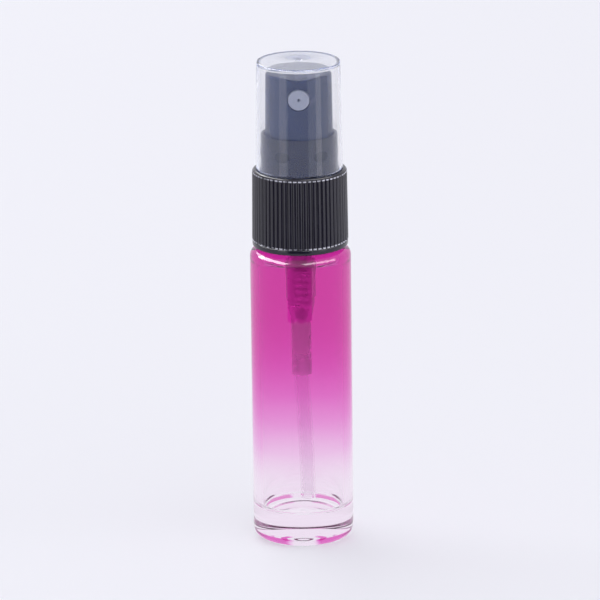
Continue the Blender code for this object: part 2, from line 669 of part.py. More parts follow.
def make_actuator():
    plastic = finish("actuator_plastic", (0.020, 0.022, 0.034), 0.32)
    pocket_radius = NOZZLE_RADIUS + SEAT_GAP
    boss_radius = pocket_radius + BOSS_WALL
    straight = NOZZLE_Z - boss_radius     # the side is straight below this height
    button = turned("actuator", actuator_outside(0, straight) + actuator_outside(ACTUATOR_WALL, straight)[::-1],
                    COARSE, plastic)
    dish_top(button, straight)

    # the stem's post and the nozzle's boss stop inside the wall
    inside = turned("button_core", actuator_outside(ACTUATOR_WALL / 2, straight) + [(0, SKIRT_Z)], COARSE,
                    group=cutters)
    dish_top(inside, straight)
    post_length = REST_Z + ACTUATOR_WALL - POST_Z
    post = rod("post", POST_RADIUS, post_length, (0, 0, POST_Z + post_length / 2), (0, 0, 1))
    boss = rod("boss", boss_radius, ACTUATOR_TOP_RADIUS, (0, -ACTUATOR_TOP_RADIUS / 2, NOZZLE_Z), (0, 1, 0))
    combine(post, boss, "UNION")
    combine(post, inside, "INTERSECT")
    combine(button, post, "UNION")

    # stem socket, riser, cross channel and nozzle pocket
    socket_top = POST_Z + SOCKET_DEPTH
    pocket_depth = NOZZLE_LENGTH + NOZZLE_RECESS + SEAT_GAP
    pocket_back = ACTUATOR_TOP_RADIUS - pocket_depth
    riser_low = socket_top - SEAT_GAP
    cross_length = pocket_back + SEAT_GAP
    for cutter in (
        rod("socket", STEM_RADIUS + RUN_GAP, 2 * SOCKET_DEPTH, (0, 0, POST_Z), (0, 0, 1)),
        rod("riser", CHANNEL_RADIUS, NOZZLE_Z - riser_low, (0, 0, (NOZZLE_Z + riser_low) / 2), (0, 0, 1),
            CHANNEL_SIDES),
        rod("cross_channel", CROSS_RADIUS, cross_length, (0, -cross_length / 2, NOZZLE_Z), (0, 1, 0),
            CHANNEL_SIDES),
        rod("nozzle_pocket", pocket_radius, 2 * pocket_depth, (0, -ACTUATOR_TOP_RADIUS, NOZZLE_Z), (0, 1, 0)),
    ):
        combine(button, cutter, "DIFFERENCE")


def make_nozzle():
    """A cup pressed into the actuator's side, open to the back, with the orifice in its face."""
    pale = finish("nozzle_plastic", (0.32, 0.34, 0.50), 0.3)
    profile = [
        (ORIFICE_RADIUS, 0),
        (NOZZLE_RADIUS - NOZZLE_CHAMFER, 0),
        (NOZZLE_RADIUS, -NOZZLE_CHAMFER),
        (NOZZLE_RADIUS, -NOZZLE_LENGTH),
        (NOZZLE_CAVITY, -NOZZLE_LENGTH),
        (NOZZLE_CAVITY, -NOZZLE_FACE),
        (ORIFICE_RADIUS, -NOZZLE_FACE),
    ]
    nozzle = turned("nozzle_insert", profile, FINE, pale)
    nozzle.rotation_euler.x = pi / 2
    nozzle.location = (0, -(ACTUATOR_TOP_RADIUS - NOZZLE_RECESS), NOZZLE_Z)


def make_overcap():
    clear = finish("clear_plastic", (0.90, 0.90, 0.93), 0.08, alpha=0.3, transmission=0.9)
    top_radius = CAP_RADIUS - CAP_DRAFT
    inside_top = CAP_TOP_Z - CAP_TOP
    inner_top = top_radius - CAP_UPPER_WALL
    rim_chamfer = CAP_WALL / 4
    profile = [(0, CAP_TOP_Z - CAP_GATE_DEPTH), (CAP_GATE_RADIUS, CAP_TOP_Z - CAP_GATE_DEPTH)]
    profile += [(CAP_GATE_RADIUS, CAP_TOP_Z)]
    profile += arc(top_radius - CAP_EDGE, CAP_TOP_Z - CAP_EDGE, CAP_EDGE, 90, 0, 3)
    profile += [(CAP_RADIUS, CAP_Z + rim_chamfer), (CAP_RADIUS - rim_chamfer, CAP_Z), (CAP_BORE, CAP_Z)]
    profile += arc(inner_top - CAP_FILLET, inside_top - CAP_FILLET, CAP_FILLET, 0, 90, 5)
    profile += [(0, inside_top)]
    turned("overcap", profile, COARSE, clear)


make_bottle()
make_collar()
make_gasket()
make_housing()
make_chaplet()
make_stem_seal()
make_stem()
make_valve_pin()
make_piston()
make_springs()
make_ball()
make_dip_tube()
make_actuator()
make_nozzle()
make_overcap()
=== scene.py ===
from math import ceil, cos, exp, pi, radians, sin, tan

import bmesh
import bpy
from mathutils import Matrix, Vector


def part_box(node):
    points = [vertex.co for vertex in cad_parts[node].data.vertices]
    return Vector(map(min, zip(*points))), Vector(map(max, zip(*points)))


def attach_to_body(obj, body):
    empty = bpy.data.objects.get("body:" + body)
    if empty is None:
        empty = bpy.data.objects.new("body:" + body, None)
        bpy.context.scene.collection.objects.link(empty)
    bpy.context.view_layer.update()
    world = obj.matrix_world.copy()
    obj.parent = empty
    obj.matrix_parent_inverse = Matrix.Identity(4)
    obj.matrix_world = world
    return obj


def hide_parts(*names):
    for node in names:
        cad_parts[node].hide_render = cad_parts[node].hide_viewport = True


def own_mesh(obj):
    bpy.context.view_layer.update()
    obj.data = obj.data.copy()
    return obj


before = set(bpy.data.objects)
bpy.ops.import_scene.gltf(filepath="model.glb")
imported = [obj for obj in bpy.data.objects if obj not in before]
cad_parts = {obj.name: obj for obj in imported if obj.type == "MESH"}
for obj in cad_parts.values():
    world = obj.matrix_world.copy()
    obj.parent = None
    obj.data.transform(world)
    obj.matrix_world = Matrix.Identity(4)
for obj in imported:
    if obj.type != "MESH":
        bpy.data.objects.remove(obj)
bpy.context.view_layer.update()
mm = 0.001


# a node's output that takes arithmetic, in material and geometry trees alike
class Wire:
    def __init__(self, graph, socket):
        self.graph = graph
        self.socket = socket

    def math(self, operation, first, second=0.0):
        return self.graph.node("ShaderNodeMath", {"operation": operation}, {0: first, 1: second})

    def __add__(self, other):
        return self.math("ADD", self, other)

    def __radd__(self, other):
        return self.math("ADD", other, self)

    def __sub__(self, other):
        return self.math("SUBTRACT", self, other)

    def __rsub__(self, other):
        return self.math("SUBTRACT", other, self)

    def __mul__(self, other):
        return self.math("MULTIPLY", self, other)

    def __rmul__(self, other):
        return self.math("MULTIPLY", other, self)

    def __truediv__(self, other):
        return self.math("DIVIDE", self, other)

    def __pow__(self, other):
        return self.math("POWER", self, other)

    def __gt__(self, other):
        return self.math("GREATER_THAN", self, other)

    def __lt__(self, other):
        return self.math("LESS_THAN", self, other)

    def atMost(self, other):
        return self.math("MINIMUM", self, other)

    def atLeast(self, other):
        return self.math("MAXIMUM", self, other)


class Graph:
    def __init__(self, tree):
        self.tree = tree

    # settings first, then the sockets' values or links; out is an output's name or number
    def node(self, kind, settings=None, inputs=None, out=0):
        made = self.tree.nodes.new(kind)
        for key, value in (settings or {}).items():
            if key == "stops":
                ramp = made.color_ramp
                while len(ramp.elements) < len(value):
                    ramp.elements.new(1.0)
                for element, (position, color) in zip(ramp.elements, value):
                    element.position = position
                    element.color = color
            else:
                setattr(made, key, value)
        for key, value in (inputs or {}).items():
            if isinstance(value, Wire):
                self.tree.links.new(value.socket, made.inputs[key])
            else:
                made.inputs[key].default_value = value
        return Wire(self, made.outputs[out])

    def vector(self, **axes):
        return self.node("ShaderNodeCombineXYZ", None, axes)

    def split(self, vector):
        parts = self.node("ShaderNodeSeparateXYZ", inputs={0: vector}).socket.node
        return [Wire(self, socket) for socket in parts.outputs]

    def mixColor(self, factor, first, second):
        return self.node("ShaderNodeMix", {"data_type": "RGBA"}, {0: factor, 6: first, 7: second}, out=2)

    def ease(self, value, low, high, start=0.0, end=1.0):
        span = {"From Min": low, "From Max": high, "To Min": start, "To Max": end}
        return self.node("ShaderNodeMapRange", {"interpolation_type": "SMOOTHSTEP"}, {"Value": value, **span})

    def noise(self, place, scale, detail=2.0):
        return self.node("ShaderNodeTexNoise", None, {"Vector": place, "Scale": scale, "Detail": detail})

    # noise keeps mostly between 0.2 and 0.8
    def vary(self, noise, start, end):
        return self.ease(noise, 0.2, 0.8, start, end)

    def bump(self, height, strength, distance):
        return self.node("ShaderNodeBump", None,
                         {"Height": height, "Strength": strength, "Distance": distance})


def startMaterial(name):
    material = bpy.data.materials.new(name)
    material.use_nodes = True
    graph = Graph(material.node_tree)
    place = graph.node("ShaderNodeTexCoord", out="Object")
    return material, graph, place


def setShader(material, sockets):
    graph = Graph(material.node_tree)
    shader = material.node_tree.nodes["Principled BSDF"]
    for key, value in sockets.items():
        if isinstance(value, Wire):
            graph.tree.links.new(value.socket, shader.inputs[key])
        else:
            shader.inputs[key].default_value = value
    return material


# a second shader shows in place of the material's own, by the share given
def addShader(material, graph, share, shader):
    nodes = material.node_tree.nodes
    own = Wire(graph, nodes["Principled BSDF"].outputs[0])
    mixed = graph.node("ShaderNodeMixShader", None, {0: share, 1: own, 2: shader})
    graph.tree.links.new(mixed.socket, nodes["Material Output"].inputs["Surface"])


def rgb(red, green, blue):
    return (red, green, blue, 1.0)


def scaled(color, factor):
    return rgb(*[c * factor for c in color])


# lowest and highest point and the radius of a CAD node that stands on the axis, in millimetres
def span(node):
    low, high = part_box(node)
    return low.z / mm, high.z / mm, max(high.x, -low.x) / mm


# corners are (radius, height, rounding) in millimetres; a rounded corner becomes an arc
def outlineOf(corners, perArc, closed=False):
    points = []
    count = len(corners)
    for i, (r, z, rounding) in enumerate(corners):
        inner = closed or 0 < i < count - 1
        if not rounding or not inner:
            points.append((r, z))
            continue
        here = Vector((r, z))
        back = (Vector(corners[i - 1][:2]) - here).normalized()
        onward = (Vector(corners[(i + 1) % count][:2]) - here).normalized()
        half = back.angle(onward) / 2
        centre = here + (back + onward).normalized() * (rounding / sin(half))
        start = here + back * (rounding / tan(half)) - centre
        sweep = start.angle_signed(here + onward * (rounding / tan(half)) - centre)
        steps = max(2, ceil(perArc * abs(sweep) / (pi / 2)))
        for k in range(steps + 1):
            turn = Matrix.Rotation(-sweep * k / steps, 2)
            points.append(tuple(centre + turn @ start))
    return points


def newObject(name, mesh, material=None):
    piece = bpy.data.objects.new(name, mesh)
    bpy.context.scene.collection.objects.link(piece)
    if material:
        mesh.materials.append(material)
    return piece


def shade(piece, angle=38):
    piece.data.shade_smooth()
    piece.data.set_sharp_from_angle(angle=radians(angle))


# the outline runs down the outer side; it starts and ends on the axis, or closes on itself
def lathe(name, points, material=None, segments=96, closed=False):
    shape = bmesh.new()
    onAxis = 1e-6
    rings = []
    for r, z in points:
        if r < onAxis:
            rings.append([shape.verts.new((0, 0, z * mm))])
            continue
        turns = [2 * pi * k / segments for k in range(segments)]
        rings.append([shape.verts.new((r * mm * cos(a), r * mm * sin(a), z * mm)) for a in turns])
    pairs = list(zip(rings, rings[1:]))
    if closed:
        pairs.append((rings[-1], rings[0]))
    for upper, lower in pairs:
        for k in range(segments):
            after = (k + 1) % segments
            around = ((upper, k), (lower, k), (lower, after), (upper, after))
            corners = [ring[i % len(ring)] for ring, i in around]
            shape.faces.new(list(dict.fromkeys(corners)))  # on the axis two corners are one
    mesh = bpy.data.meshes.new(name)
    shape.to_mesh(mesh)
    shape.free()
    piece = newObject(name, mesh, material)
    shade(piece)
    return piece


# the same from corners, for a piece with a hole through it
def turnedRing(name, corners, material, perArc=4, segments=96):
    return lathe(name, outlineOf(corners, perArc, closed=True), material, segments, closed=True)


# moves a lathed piece so that its axis runs along -Y at the given height and depth
def faceFront(piece, depth, height):
    turn = Matrix.Rotation(pi / 2, 4, "X")
    piece.data.transform(Matrix.Translation((0, depth * mm, height * mm)) @ turn)


def finalMesh(piece):
    graph = bpy.context.evaluated_depsgraph_get()
    return bpy.data.meshes.new_from_object(piece.evaluated_get(graph))


def applyModifiers(piece):
    mesh = finalMesh(piece)
    piece.modifiers.clear()
    old = piece.data
    piece.data = mesh
    bpy.data.meshes.remove(old)


def combine(piece, other, operation):
    change = piece.modifiers.new("join", "BOOLEAN")
    change.operation = operation
    change.solver = "EXACT"
    change.object = other
    applyModifiers(piece)
    bpy.data.objects.remove(other, do_unlink=True)


def merge(name, first, *others):
    shape = bmesh.new()
    for piece in (first, *others):
        shape.from_mesh(piece.data)
    shape.to_mesh(first.data)
    shape.free()
    for piece in others:
        bpy.data.objects.remove(piece, do_unlink=True)
    first.name = first.data.name = name
    return first


# a geometry nodes tree with the sizes as its inputs, turned into a plain mesh
def grow(name, sizes, build, material):
    tree = bpy.data.node_groups.new(name, "GeometryNodeTree")
    graph = Graph(tree)
    tree.interface.new_socket("Geometry", in_out="OUTPUT", socket_type="NodeSocketGeometry")
    sockets = {}
    for key, value in sizes.items():
        kind = "NodeSocketInt" if isinstance(value, int) else "NodeSocketFloat"
        sockets[key] = tree.interface.new_socket(key, in_out="INPUT", socket_type=kind)
    source = tree.nodes.new("NodeGroupInput")
    inputs = {key: Wire(graph, source.outputs[key]) for key in sizes}
    body = build(graph, inputs)
    real = graph.node("GeometryNodeRealizeInstances", None, {0: body})
    done = graph.node("GeometryNodeSetMaterial", None, {"Geometry": real, "Material": material})
    end = tree.nodes.new("NodeGroupOutput")
    tree.links.new(done.socket, end.inputs[0])
    piece = newObject(name, bpy.data.meshes.new(name))
    modifier = piece.modifiers.new(name, "NODES")
    modifier.node_group = tree
    for key, value in sizes.items():
        modifier[sockets[key].identifier] = value
    applyModifiers(piece)
    piece.data.materials.clear()  # instances leave an empty slot before their material
    piece.data.materials.append(material)
    piece.data.name = name
    shade(piece)
    return piece


def sweepAlong(graph, line, section):
    return graph.node("GeometryNodeCurveToMesh", None,
                      {"Curve": line, "Profile Curve": section, "Fill Caps": True})


# copies of one shape, evenly round the axis and facing outward
def repeatRound(graph, shape, sizes):
    ring = graph.node("GeometryNodeMeshCircle", None,
                      {"Vertices": sizes["count"], "Radius": sizes["ringRadius"]})
    turn = graph.node("GeometryNodeInputIndex") * (2 * pi) / sizes["count"]
    return graph.node("GeometryNodeInstanceOnPoints", None,
                      {"Points": ring, "Instance": shape, "Rotation": graph.vector(Z=turn)})


# a round wire wound up the axis; taper is the share of its length that runs out at each end
def buildCoil(graph, sizes):
    line = graph.node("GeometryNodeCurveSpiral", None, {
        "Resolution": sizes["pointsPerTurn"], "Rotations": sizes["turns"],
        "Start Radius": sizes["coilRadius"], "End Radius": sizes["coilRadius"], "Height": sizes["rise"]})
    along = graph.node("GeometryNodeSplineParameter", out="Factor")
    nearEnd = along.atMost(1 - along)
    thin = graph.ease(nearEnd, 0.0, sizes["taper"], sizes["tip"], 1.0)
    line = graph.node("GeometryNodeSetCurveRadius", None, {"Curve": line, "Radius": thin})
    section = graph.node("GeometryNodeCurvePrimitiveCircle", None,
                         {"Resolution": sizes["sides"], "Radius": sizes["wireRadius"]})
    return graph.node("GeometryNodeTransform", None, {
        "Geometry": sweepAlong(graph, line, section),
        "Translation": graph.vector(Z=sizes["startHeight"]), "Rotation": graph.vector(Z=sizes["startAngle"])})


# upright bars round the axis, each with domed ends
def buildRibs(graph, sizes):
    low = graph.vector(Z=sizes["low"])
    high = graph.vector(X=-1 * sizes["draft"], Z=sizes["high"])
    spine = graph.node("GeometryNodeCurvePrimitiveLine", None, {"Start": low, "End": high})
    spine = graph.node("GeometryNodeResampleCurve", None, {"Curve": spine, "Count": sizes["steps"]})
    along = graph.node("GeometryNodeSplineParameter", out="Length")
    left = (sizes["high"] - sizes["low"]) - along
    toEnd = (along.atMost(left) / sizes["dome"]).atMost(1.0)
    dome = (1 - (1 - toEnd) ** 2.0) ** 0.5
    spine = graph.node("GeometryNodeSetCurveRadius", None,
                       {"Curve": spine, "Radius": dome.atLeast(sizes["tip"])})
    section = graph.node("GeometryNodeCurvePrimitiveCircle", None,
                         {"Resolution": sizes["sides"], "Radius": 1.0})
    size = graph.vector(X=sizes["stand"], Y=sizes["halfWidth"], Z=1.0)
    section = graph.node("GeometryNodeTransform", None, {"Geometry": section, "Scale": size})
    return repeatRound(graph, sweepAlong(graph, spine, section), sizes)


# flat round lugs round the axis
def buildLugs(graph, sizes):
    ball = graph.node("GeometryNodeMeshUVSphere", None,
                      {"Segments": sizes["segments"], "Rings": sizes["rings"], "Radius": 1.0})
    size = graph.vector(X=sizes["stand"], Y=sizes["halfWidth"], Z=sizes["halfWidth"])
    lug = graph.node("GeometryNodeTransform", None, {"Geometry": ball, "Scale": size})
    return graph.node("GeometryNodeTransform", None, {
        "Geometry": repeatRound(graph, lug, sizes), "Translation": graph.vector(Z=sizes["height"]),
        "Rotation": graph.vector(Z=sizes["startAngle"])})


def coil(name, material, radius, wire, low, high, turns, startAngle=0.0, taper=0.001):
    sizes = {"coilRadius": radius * mm, "wireRadius": wire * mm, "rise": (high - low) * mm,
             "turns": float(turns), "startHeight": low * mm, "startAngle": float(startAngle),
             "taper": float(taper), "tip": 0.25, "sides": 12, "pointsPerTurn": 48}
    return grow(name, sizes, buildCoil, material)


# a layer of the given density lets full ** density of each colour through
def layerStops(full, count=6):
    return [(k / (count - 1), rgb(*[c ** (k / (count - 1)) for c in full])) for k in range(count)]


# full at the shoulder and gone above the base, with patches of painted reflection round the heel, where the
# magenta body would show mirrored inside the base
lacquer = {"fullTint": (0.66, 0.022, 0.335), "thin": 0.055, "thick": 0.95, "fadeLow": 9.5 * mm,
           "fadeHigh": 48.7 * mm, "mottle": 0.06, "mottleScale": 90.0, "heelFoot": 0.02 * mm,
           "heelTop": 1.8 * mm, "heelReflectionTint": 1.0, "patchFrom": 0.2, "patchFull": 0.36, "patchEdge": 0.2,
           "patchScale": 420.0, "bodyInside": 8.9 * mm, "shoulderInside": 58.8 * mm, "neck": 60.4 * mm,
           "peelScale": 260.0, "peel": 0.06, "peelDepth": 0.05 * mm}


def makeLacqueredGlass():
    material, graph, place = startMaterial("lacqueredGlass")
    x, y, z = graph.split(place)
    radius = (x * x + y * y) ** 0.5
    drift = graph.noise(place, lacquer["mottleScale"], detail=3.0) - 0.5
    density = graph.ease(z, lacquer["fadeLow"], lacquer["fadeHigh"], lacquer["thin"], lacquer["thick"])
    density = density * (1 + drift * lacquer["mottle"])
    # the heel's four patches add lacquer colour as a painted reflection of the magenta body seen inside the
    # base
    ragged = (graph.noise(place, lacquer["patchScale"]) - 0.5) * lacquer["patchEdge"]
    aslant = (x * x * y * y) ** 0.5 / (radius * radius) + ragged  # four patches, between the axes
    heelReflection = graph.ease(aslant, lacquer["patchFrom"], lacquer["patchFull"])
    onHeel = (z < lacquer["heelTop"]) * (z > lacquer["heelFoot"])
    density = density + onHeel * heelReflection * lacquer["heelReflectionTint"]
    outside = (radius > lacquer["bodyInside"]).atLeast(z > lacquer["shoulderInside"])
    density = density * (outside * (z < lacquer["neck"]))
    tint = graph.node("ShaderNodeValToRGB", {"stops": layerStops(lacquer["fullTint"])}, {0: density})
    orangePeel = graph.noise(place, lacquer["peelScale"])
    return setShader(material, {
        "Base Color": tint, "Roughness": 0.0, "IOR": 1.5, "Transmission Weight": 1.0,
        "Normal": graph.bump(orangePeel, lacquer["peel"], lacquer["peelDepth"])})


# haze in the clear plastic: bluish where it scatters, a little warm where it lets through, thinner at
# the top's corner
milky = {"color": (0.33, 0.46, 1.0), "rough": 0.6, "share": 0.042, "cornerShare": 0.005,
         "cornerRadius": 7.7, "cornerHeight": 96.6, "clearLow": (0.985, 0.98, 0.965),
         "clearHigh": (0.995, 0.99, 0.98), "cloudScale": 120.0, "uneven": 0.1, "clearRough": 0.02}


def makeClearPlastic():
    material, graph, place = startMaterial("clearPlastic")
    cloud = graph.noise(place, milky["cloudScale"], detail=3.0)
    setShader(material, {
        "Base Color": graph.mixColor(cloud, rgb(*milky["clearLow"]), rgb(*milky["clearHigh"])),
        "Roughness": graph.vary(cloud, 0.0, milky["clearRough"]), "IOR": 1.47,
        "Transmission Weight": 1.0})
    milk = graph.node("ShaderNodeBsdfPrincipled", None, {
        "Base Color": rgb(*milky["color"]), "Roughness": milky["rough"], "Specular IOR Level": 0.0})
    x, y, z = graph.split(place)
    corner = ((x * x + y * y) ** 0.5 > milky["cornerRadius"] * mm) * (z > milky["cornerHeight"] * mm)
    share = graph.vary(cloud, milky["share"] * (1 - milky["uneven"]), milky["share"] * (1 + milky["uneven"]))
    addShader(material, graph, share + corner * (milky["cornerShare"] - share), milk)
    return material


# the collar's pips are made darker and matt, and the ends of its ribs get a painted highlight: pale colour
# where the lamps would glint on them
pipsAndEndHighlights = {"pipRadius": 7.54, "pipsAbove": 77.5, "lowEnds": (61.4, 61.7), "lowRadius": 9.43,
          "highEnds": 75.13, "highRadius": 9.27, "pip": (0.002, 0.001, 0.001), "pipRough": 0.9,
          "end": (0.55, 0.55, 0.62), "endFrom": 0.34, "endFull": 0.5}


def makeBlackPlastic(name, color, gloss, grain, pipsAndHighlights=False):
    material, graph, place = startMaterial(name)
    cloud = graph.noise(place, 400.0, detail=4.0)
    fine = graph.noise(place, 5200.0)
    tone = graph.mixColor(cloud, rgb(*color), scaled(color, 1.35))
    rough = graph.ease(cloud, 0.25, 0.75, gloss, gloss + 0.08)
    if pipsAndHighlights:
        x, y, z = graph.split(place)
        radius = (x * x + y * y) ** 0.5
        onPip = (radius > pipsAndEndHighlights["pipRadius"] * mm) * (z > pipsAndEndHighlights["pipsAbove"] * mm)
        low, high = pipsAndEndHighlights["lowEnds"]
        onLow = (z > low * mm) * (z < high * mm) * (radius > pipsAndEndHighlights["lowRadius"] * mm)
        onHigh = (z > pipsAndEndHighlights["highEnds"] * mm) * (radius > pipsAndEndHighlights["highRadius"] * mm)
        # the pale rib ends are a painted highlight of the lamps
        onEndHighlight = onLow.atLeast(onHigh) * graph.ease(cloud, pipsAndEndHighlights["endFrom"], pipsAndEndHighlights["endFull"])
        tone = graph.mixColor(onPip, tone, rgb(*pipsAndEndHighlights["pip"]))
        tone = graph.mixColor(onEndHighlight, tone, rgb(*pipsAndEndHighlights["end"]))
        rough = rough + onPip * (pipsAndEndHighlights["pipRough"] - rough)
    return setShader(material, {
        "Base Color": tone, "Roughness": rough, "IOR": 1.5, "Normal": graph.bump(fine, grain, 0.02 * mm)})


# see is the share of light that goes through, bend the refraction
def makeNaturalPlastic(name, color, see=0.0, rough=0.25, bend=1.49):
    material, graph, place = startMaterial(name)
    cloud = graph.noise(place, 350.0, detail=3.0)
    return setShader(material, {
        "Base Color": graph.mixColor(cloud, rgb(*color), scaled(color, 0.93)),
        "Roughness": graph.vary(cloud, rough, rough + 0.1), "IOR": bend,
        "Transmission Weight": see})


def makeSteel(name, dark, bright):
    material, graph, place = startMaterial(name)
    drawn = graph.noise(place, 3000.0, detail=3.0)
    return setShader(material, {
        "Base Color": graph.mixColor(drawn, rgb(*dark), rgb(*bright)), "Metallic": 1.0,
        "Roughness": graph.vary(drawn, 0.18, 0.32)})


def makeRubber(name, color):
    material, graph, place = startMaterial(name)
    grain = graph.noise(place, 2500.0, detail=4.0)
    return setShader(material, {
        "Base Color": graph.mixColor(grain, rgb(*color), scaled(color, 0.8)),
        "Roughness": graph.vary(grain, 0.5, 0.7), "Normal": graph.bump(grain, 0.2, 0.03 * mm)})


glassFinish = makeLacqueredGlass()
capFinish = makeClearPlastic()
collarFinish = makeBlackPlastic("collarPlastic", (0.008, 0.007, 0.016), gloss=0.13, grain=0.05, pipsAndHighlights=True)
buttonFinish = makeBlackPlastic("buttonPlastic", (0.008, 0.017, 0.060), gloss=0.20, grain=0.03)
nozzleFinish = makeNaturalPlastic("nozzlePlastic", (0.43, 0.455, 0.56))
naturalFinish = makeNaturalPlastic("naturalPlastic", (0.985, 0.985, 0.985), see=0.8, bend=1.25)
whiteFinish = makeNaturalPlastic("whitePlastic", (0.82, 0.82, 0.81))
tubeFinish = makeNaturalPlastic("tubePlastic", (0.99, 0.96, 0.99), see=0.98, rough=0.0, bend=1.12)
steelFinish = makeSteel("springSteel", (0.55, 0.55, 0.57), (0.72, 0.72, 0.74))
gasketFinish = makeRubber("gasketRubber", (0.45, 0.45, 0.42))
sealFinish = makeRubber("sealRubber", (0.03, 0.03, 0.032))
print("finishes made")


# moves with the body and is seen in place of the CAD nodes
def attach(piece, body, slot, *nodes):
    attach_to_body(piece, body)
    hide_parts(*nodes)


# lengths here and below are in millimetres, and heights are above the table
bottle = {"shoulder": 59.8, "wall": 1.8, "floor": 6.4, "heel": 2.0, "shoulderRound": 1.8,
          "innerRound": 1.2, "innerShoulder": 2.8, "shoulderWall": 1.3, "ceilingRise": 0.2,
          "throatRound": 1.0, "pushUpRadius": 7.0, "pushUpHeight": 1.7, "pushUpRings": 14,
          "neckRadius": 6.45, "neckWall": 2.15, "rimRound": 0.4, "footRound": 0.35, "threadBead": 0.70,
          "threadLead": 2.1, "threadTurns": 1.6, "threadTaper": 0.12, "threadBelowRim": 2.2}


def makeBottle():
    b = bottle
    low, rim, outer = span("glass_bottle")
    inner = outer - b["wall"]
    bore = b["neckRadius"] - b["neckWall"]
    ceiling = b["shoulder"] - b["shoulderWall"]
    corners = [
        (0, b["floor"], 0), (inner, b["floor"], b["innerRound"]), (inner, ceiling, b["innerShoulder"]),
        (bore, ceiling + b["ceilingRise"], b["throatRound"]), (bore, rim, b["rimRound"]),
        (b["neckRadius"], rim, b["rimRound"]), (b["neckRadius"], b["shoulder"], b["rimRound"]),
        (outer, b["shoulder"], b["shoulderRound"]), (outer, low, b["heel"]), (0, low, 0),
    ]
    points = outlineOf(corners, perArc=12)[:-1]
    points.append((b["pushUpRadius"] + b["footRound"], low))
    for k in range(b["pushUpRings"] + 1):
        share = 1 - k / b["pushUpRings"]
        points.append((b["pushUpRadius"] * share, low + b["pushUpHeight"] * (1 - share ** 2)))
    glass = lathe("glassBottle", points, glassFinish, segments=192)
    end = rim - b["threadBelowRim"]
    bead = coil("neckThread", glassFinish, b["neckRadius"], b["threadBead"],
                end - b["threadTurns"] * b["threadLead"], end, b["threadTurns"], taper=b["threadTaper"])
    combine(glass, bead, "UNION")
    shade(glass)
    attach(glass, "bottle", "bottle_glass", "glass_bottle")


makeBottle()
print("bottle made")


# the ribs and pips sink a little into the body, so that no gap is left
collar = {"bandHeight": 1.1, "bandRadius": 9.45, "ribCount": 60, "ribRoot": 9.15, "ribTip": 9.62,
          "ribSink": 0.1, "ribDraft": 0.16, "ribHalfWidth": 0.47, "ribDome": 0.5, "ribsAboveBand": 0.02,
          "ribsBelowDeck": 0.42, "topEdge": 0.3, "bore": 7.45, "deckHole": 4.1, "deckThickness": 1.6,
          "turretHeight": 7.3, "turretWall": 0.57, "skirtGap": 0.29, "pipCount": 6, "pipHeight": 3.8,
          "pipWidth": 3.1, "pipStand": 0.10, "pipSink": 0.2, "pipTurn": 26.6, "threadBead": 0.55,
          "threadTurns": 1.3, "threadParting": 0.2, "unscrewTurns": 2}


def makeCollar():
    c = collar
    low, top, _ = span("closure_collar")
    deck = top - c["turretHeight"]
    turret = span("actuator")[2] + c["skirtGap"] + c["turretWall"]
    bore = turret - c["turretWall"]
    bandTop = low + c["bandHeight"]
    corners = [
        (bore, top, 0.04), (turret, top, 0.09), (turret, deck, 0.15), (c["ribRoot"], deck, c["topEdge"]),
        (c["ribRoot"], bandTop, 0.05), (c["bandRadius"], bandTop, 0.15), (c["bandRadius"], low, 0.25),
        (c["bore"], low, 0.2), (c["bore"], deck - c["deckThickness"], 0.1),
        (c["deckHole"], deck - c["deckThickness"], 0.05), (c["deckHole"], deck, 0.1), (bore, deck, 0.2),
    ]
    body = turnedRing("collarBody", corners, collarFinish, perArc=5, segments=180)
    stand = c["ribTip"] - c["ribRoot"] + c["ribSink"]
    ribs = grow("collarRibs", {
        "count": c["ribCount"], "ringRadius": (c["ribTip"] - stand) * mm,
        "low": (bandTop + c["ribsAboveBand"]) * mm, "high": (deck - c["ribsBelowDeck"]) * mm,
        "stand": stand * mm, "halfWidth": c["ribHalfWidth"] * mm, "draft": c["ribDraft"] * mm,
        "dome": c["ribDome"] * mm, "tip": 0.05, "steps": 64, "sides": 14}, buildRibs, collarFinish)
    pips = grow("collarPips", {
        "count": c["pipCount"], "ringRadius": (turret - c["pipSink"]) * mm,
        "stand": (c["pipStand"] + c["pipSink"]) * mm, "halfWidth": c["pipWidth"] / 2 * mm,
        "height": (deck + c["pipHeight"]) * mm, "startAngle": radians(-90 - c["pipTurn"]),
        "segments": 32, "rings": 16}, buildLugs, collarFinish)
    # two turns from here the collar's thread is just above the end of the glass one
    glassEnd = span("glass_bottle")[1] - bottle["threadBelowRim"]
    glassStart = glassEnd - bottle["threadTurns"] * bottle["threadLead"]
    start = glassEnd + c["threadParting"] - c["unscrewTurns"] * bottle["threadLead"]
    angle = 2 * pi * (start - glassStart) / bottle["threadLead"] + pi
    thread = coil("collarThread", collarFinish, c["bore"], c["threadBead"], start,
                  start + c["threadTurns"] * bottle["threadLead"], c["threadTurns"], angle,
                  bottle["threadTaper"])
    whole = merge("closureCollar", body, ribs, pips, thread)
    attach(whole, "closure", "collar_plastic", "closure_collar")


makeCollar()
print("collar made")


rings = {
    "neckGasket": {"node": "neck_gasket", "hole": 3.9, "rounding": 0.1, "material": gasketFinish,
                   "slot": "gasket_rubber"},
    "stemSeal": {"node": "stem_seal", "hole": 1.67, "rounding": 0.08, "material": sealFinish,
                 "slot": "seal_rubber"}}


def makeRing(name, node, hole, rounding, material, slot):
    low, high, radius = span(node)
    corners = [(hole, high, rounding), (radius, high, rounding), (radius, low, rounding),
               (hole, low, rounding)]
    attach(turnedRing(name, corners, material), "sprayer", slot, node)


pump = {"flangeThickness": 0.9, "barrel": 3.7, "barrelLength": 10.5, "barrelTaper": 1.2,
        "chamberOutside": 2.9, "chamber": 2.1, "upperBore": 2.9, "tail": 1.95, "tailLength": 10.8,
        "tailTaper": 5.2, "tubeSocket": 1.57, "socketTop": 44.0, "inlet": 0.75, "cone": 45.0,
        "cage": 45.9, "cageRadius": 1.35, "seat": 48.2, "upperBoreLow": 64.2}


